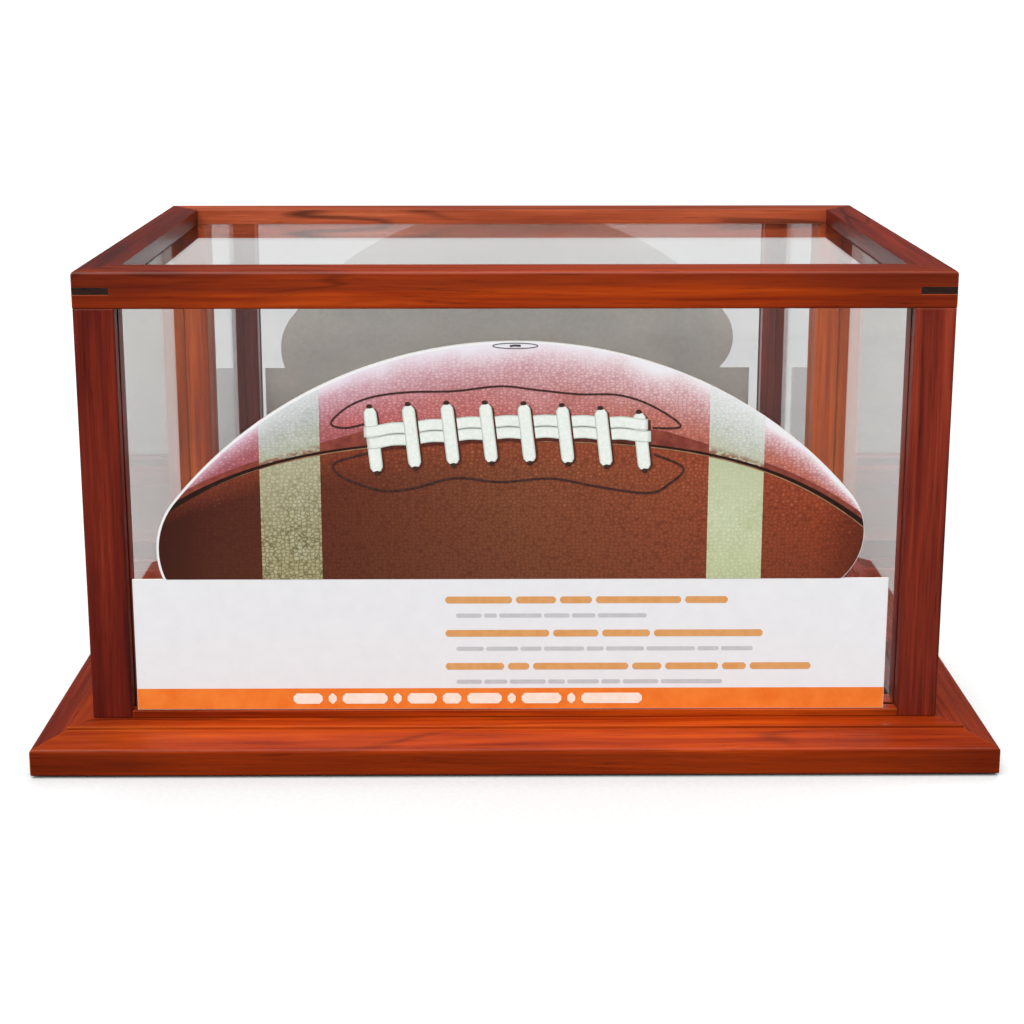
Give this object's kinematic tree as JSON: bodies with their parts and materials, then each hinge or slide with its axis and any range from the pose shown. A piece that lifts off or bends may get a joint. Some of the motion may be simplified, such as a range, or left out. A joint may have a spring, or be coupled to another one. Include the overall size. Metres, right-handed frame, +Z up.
{
  "type": "football display case",
  "caption": "Glazed wooden display case with a mirrored back; its cover lifts straight up off a low moulded base, and a die-cut card stands before the front pane.",
  "frame": {"origin": "on the table, under the middle of the base's outline", "axes": "+X from left to right along the front, +Y from the front to the mirrored back, +Z up"},
  "size_m": [0.3588, 0.2124, 0.187],
  "materials": {
    "frame_wood": "mahogany-stained hardwood, satin lacquer",
    "base_wood": "mahogany-stained hardwood, semi-gloss lacquer",
    "floor_wood": "stained veneer on thin board, satin lacquer",
    "key_wood": "dark slips, lacquered with the frame",
    "plain_wood": "bare fluted dowel",
    "glass": "clear float glass, ground edges",
    "mirror": "silvered float glass",
    "hardboard": "brown hardboard, smooth side out",
    "steel": "thin glazing tabs",
    "brass_screw": "brassed countersunk screws",
    "felt": "self-adhesive felt",
    "card": "coated greyboard, printed on the front"
  },
  "bodies": {
    "base": {"base_front": "base_wood", "base_left": "base_wood", "base_right": "base_wood", "base_back": "base_wood", "floor_panel": "floor_wood", "floor_screws": "brass_screw", "locating_strips_across": "frame_wood", "locating_strips_lengthwise": "frame_wood", "felt_pads": "felt"},
    "cover": {"top_rail_front": "frame_wood", "top_rail_right": "frame_wood", "top_rail_back": "frame_wood", "top_rail_left": "frame_wood", "post_front_left": "frame_wood", "post_front_right": "frame_wood", "post_back_left": "frame_wood", "post_back_right": "frame_wood", "bottom_rail_front": "frame_wood", "bottom_rail_left": "frame_wood", "bottom_rail_right": "frame_wood", "bottom_rail_back": "frame_wood", "corner_key_front_left": "key_wood", "corner_key_front_right": "key_wood", "corner_key_back_left": "key_wood", "corner_key_back_right": "key_wood", "glass_front": "glass", "glass_left": "glass", "glass_right": "glass", "glass_top": "glass", "mirror_back": "mirror", "backing_board": "hardboard", "glazing_points": "steel", "post_dowels": "plain_wood"},
    "display_card": {"display_card": "card"}
  },
  "joints": [
    {"name": "cover_lift", "type": "slide", "parent": "base", "child": "cover", "axis": [0, 0, 1], "range_m": [0, 0.06]},
    {"name": "card_slide", "type": "slide", "parent": "cover", "child": "display_card", "axis": [0, -1, 0], "range_m": [0, 0.04]}
  ]
}
